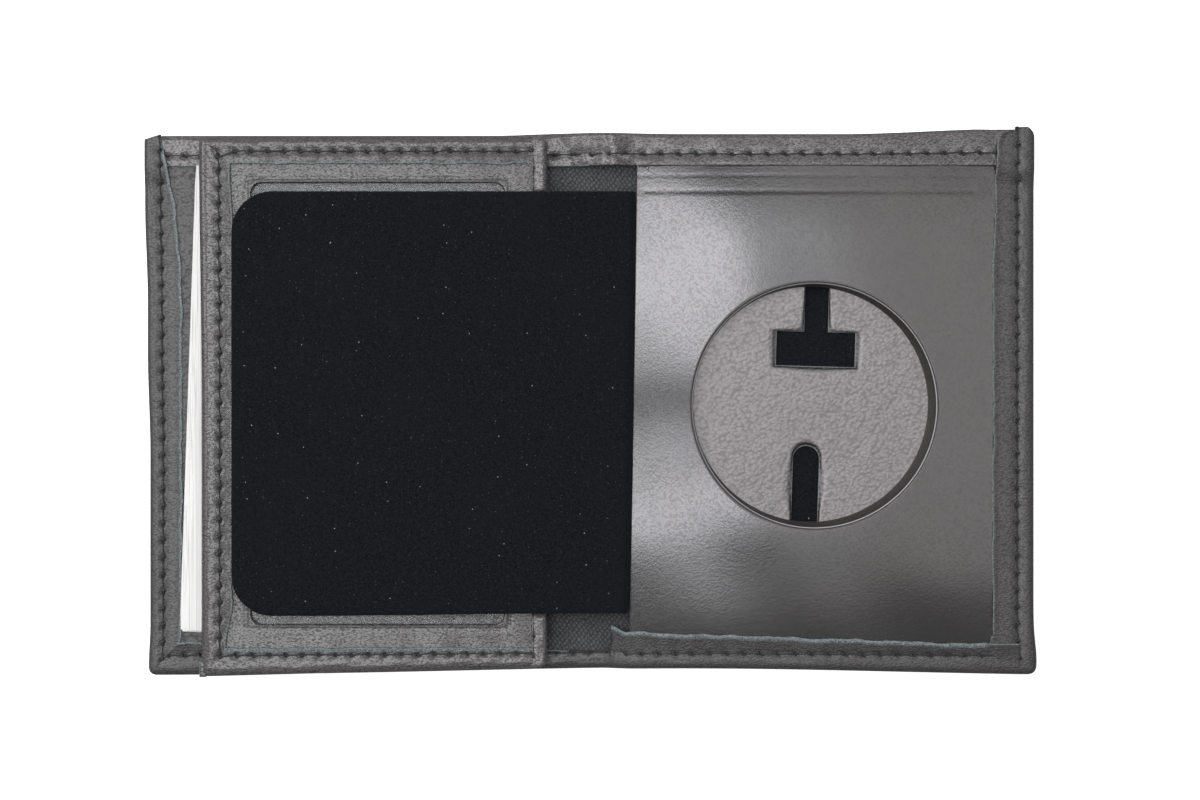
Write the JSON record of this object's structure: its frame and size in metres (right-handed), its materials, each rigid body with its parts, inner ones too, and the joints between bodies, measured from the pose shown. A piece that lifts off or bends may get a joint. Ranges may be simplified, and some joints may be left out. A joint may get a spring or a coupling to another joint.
{
  "type": "id badge wallet",
  "caption": "Folding leather wallet lying open: a leaf with a clear card window and photo pages at the left, a round badge recess with slots at the right, and a velvet flap.",
  "frame": {"origin": "on the table, under the middle of the spine", "axes": "+X across the open wallet towards the badge side, +Y up the page towards the banknote compartment's mouth, +Z out of the table"},
  "size_m": [0.176, 0.108, 0.0091],
  "materials": {
    "cover_leather": "semi-matt pebbled grain, dark grey",
    "inner_leather": "semi-matt fine pebbled grain, dark grey",
    "panel_leather": "matt smooth, dark grey",
    "face_leather": "semi-gloss smooth, dark grey",
    "recess_leather": "semi-matt pebbled grain, grey",
    "lining": "matt woven twill, near black",
    "velvet": "short pile velvet, black",
    "thread": "twisted sewing thread, black",
    "clear_vinyl": "clear glossy film",
    "page": "matt white page stock"
  },
  "bodies": {
    "left_half": {"left_cover": "cover_leather", "left_liner": "lining", "left_top_facing": "inner_leather", "left_card_panel": "panel_leather", "left_stitching": "thread", "leaf_back": "inner_leather", "leaf_front": "inner_leather", "leaf_window": "clear_vinyl", "leaf_gusset": "panel_leather", "leaf_seam_strip": "inner_leather", "leaf_stitching": "thread"},
    "spine": {"spine_cover": "cover_leather", "spine_liner": "lining", "spine_top_facing": "inner_leather", "spine_stitching": "thread"},
    "right_half": {"right_cover": "cover_leather", "right_liner": "lining", "right_top_facing": "inner_leather", "right_stitching": "thread", "badge_backing": "velvet", "badge_recess_panel": "recess_leather", "badge_face_panel": "face_leather"},
    "badge_flap": {"flap_leather": "panel_leather", "flap_velvet": "velvet"},
    "photo_insert": {"photo_page_1": "page", "photo_page_2": "page", "photo_page_3": "page", "photo_page_4": "page", "photo_page_5": "page", "photo_insert_binding": "page"}
  },
  "joints": [
    {"name": "spine_fold", "type": "hinge", "parent": "left_half", "child": "spine", "pos_m": [-0.00425, 0, 0.0031], "axis": [0, -1, 0], "range_deg": [0, 90]},
    {"name": "cover_fold", "type": "hinge", "parent": "spine", "child": "right_half", "pos_m": [0.00425, 0, 0.0031], "axis": [0, -1, 0], "range_deg": [0, 90]},
    {"name": "flap_fold", "type": "hinge", "parent": "right_half", "child": "badge_flap", "pos_m": [0.0088, 0, 0.00735], "axis": [0, 1, 0], "range_deg": [0, 180]},
    {"name": "insert_slide", "type": "slide", "parent": "left_half", "child": "photo_insert", "axis": [-1, 0, 0], "range_m": [0, 0.072]}
  ],
  "couplings": [
    {"joint": "cover_fold", "follows": "spine_fold", "ratio": 1},
    {"joint": "flap_fold", "follows": "spine_fold", "ratio": 2}
  ]
}
